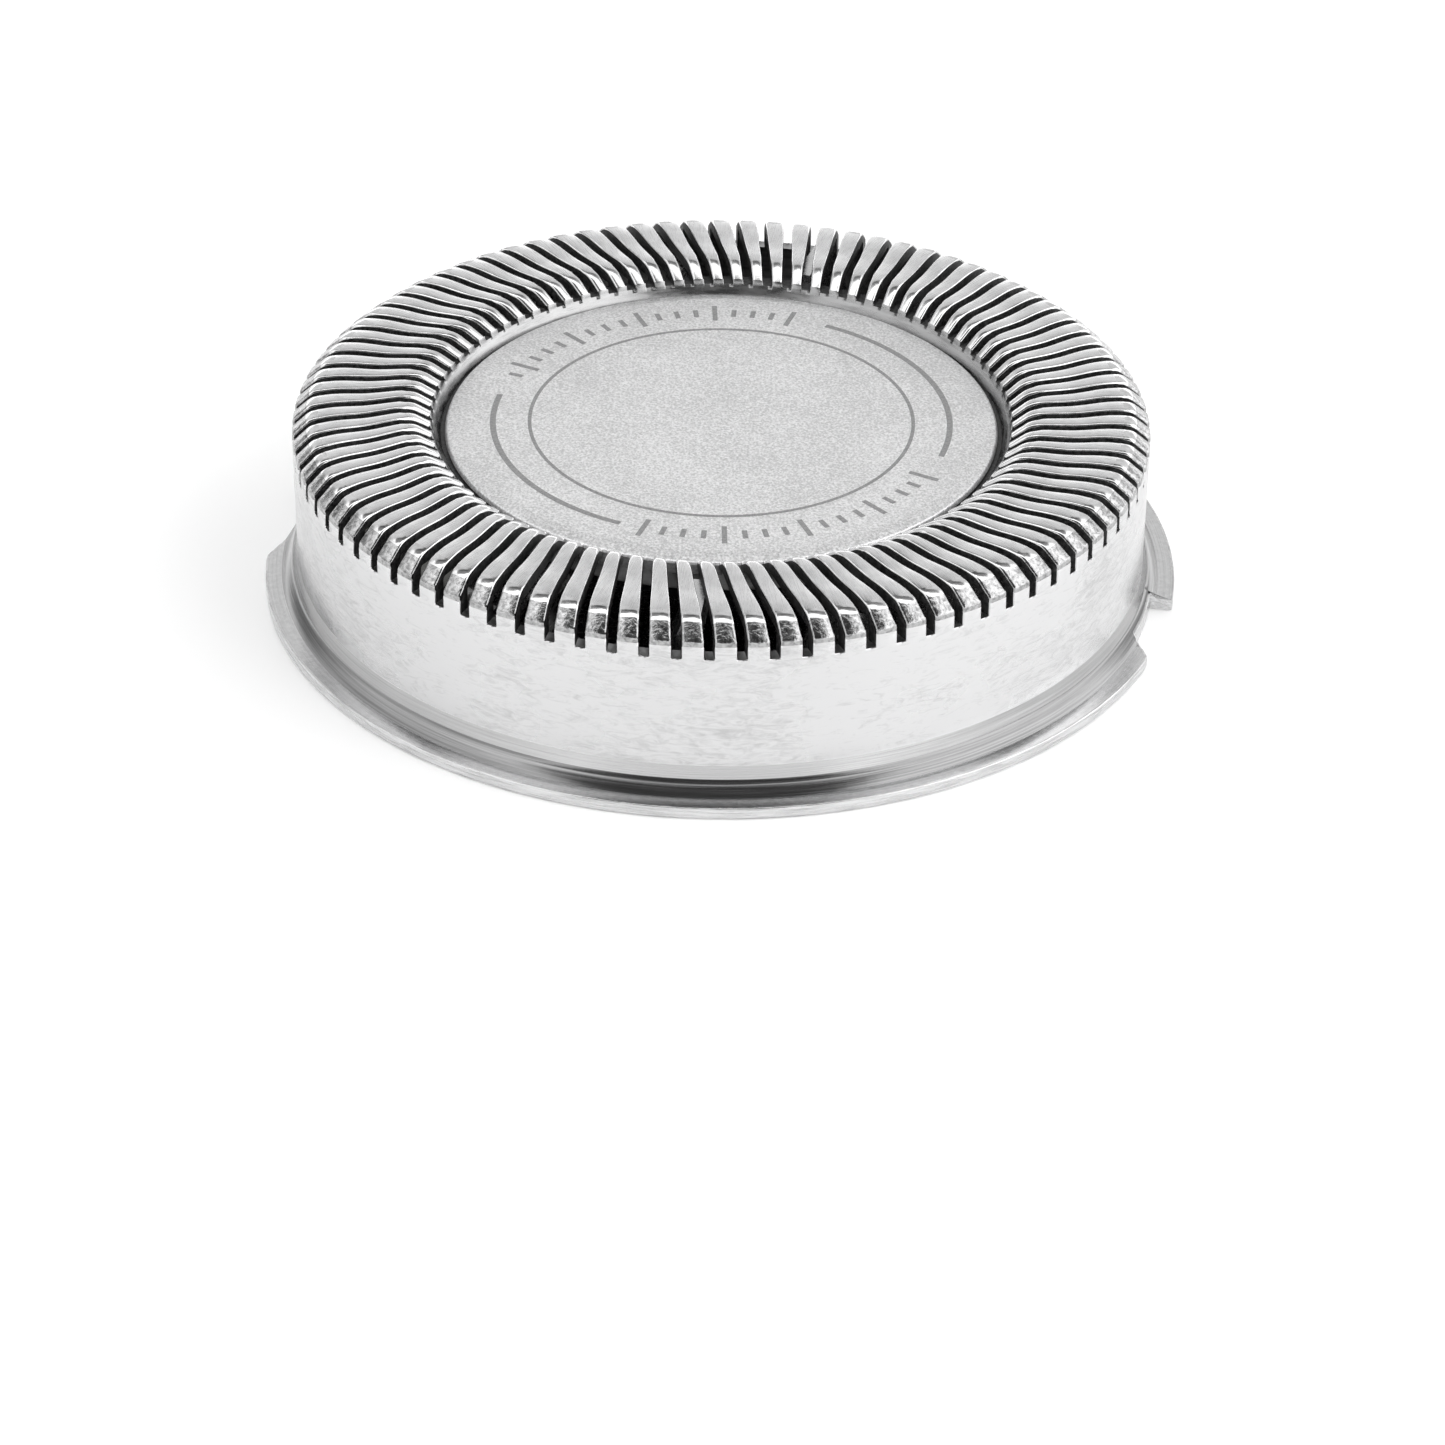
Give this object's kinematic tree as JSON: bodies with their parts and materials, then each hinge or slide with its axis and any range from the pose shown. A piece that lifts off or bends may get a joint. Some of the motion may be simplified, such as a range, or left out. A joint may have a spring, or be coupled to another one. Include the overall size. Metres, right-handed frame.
{
  "type": "rotary shaver head",
  "caption": "Round shaver head: a slotted steel guard cap with a flange and a dished centre over a turning ring of blades on a plastic drive hub.",
  "frame": {"origin": "on the spin axis, in the plane of the flange's underside, which the head stands on", "axes": "+Z along the spin axis, out through the slotted crown; -Y is the front of the picture's view"},
  "size_m": [0.025, 0.025, 0.0052],
  "materials": {
    "cap_steel": "satin polished stainless steel",
    "blasted_steel": "fine bead-blasted stainless steel with grey printed rings",
    "blade_steel": "ground stainless steel",
    "spring_steel": "thin rolled spring steel",
    "hub_plastic": "moulded acetal, fine satin"
  },
  "bodies": {
    "guard": {"guard_cap": "cap_steel", "trim_disc": "blasted_steel"},
    "cutter": {"blade_ring": "blade_steel", "lifter_ring": "spring_steel", "drive_hub": "hub_plastic"}
  },
  "joints": [
    {"name": "cutter_spin", "type": "hinge", "parent": "guard", "child": "cutter", "pos_m": [0, 0, 0.0042], "axis": [0, 0, 1], "continuous": true}
  ]
}
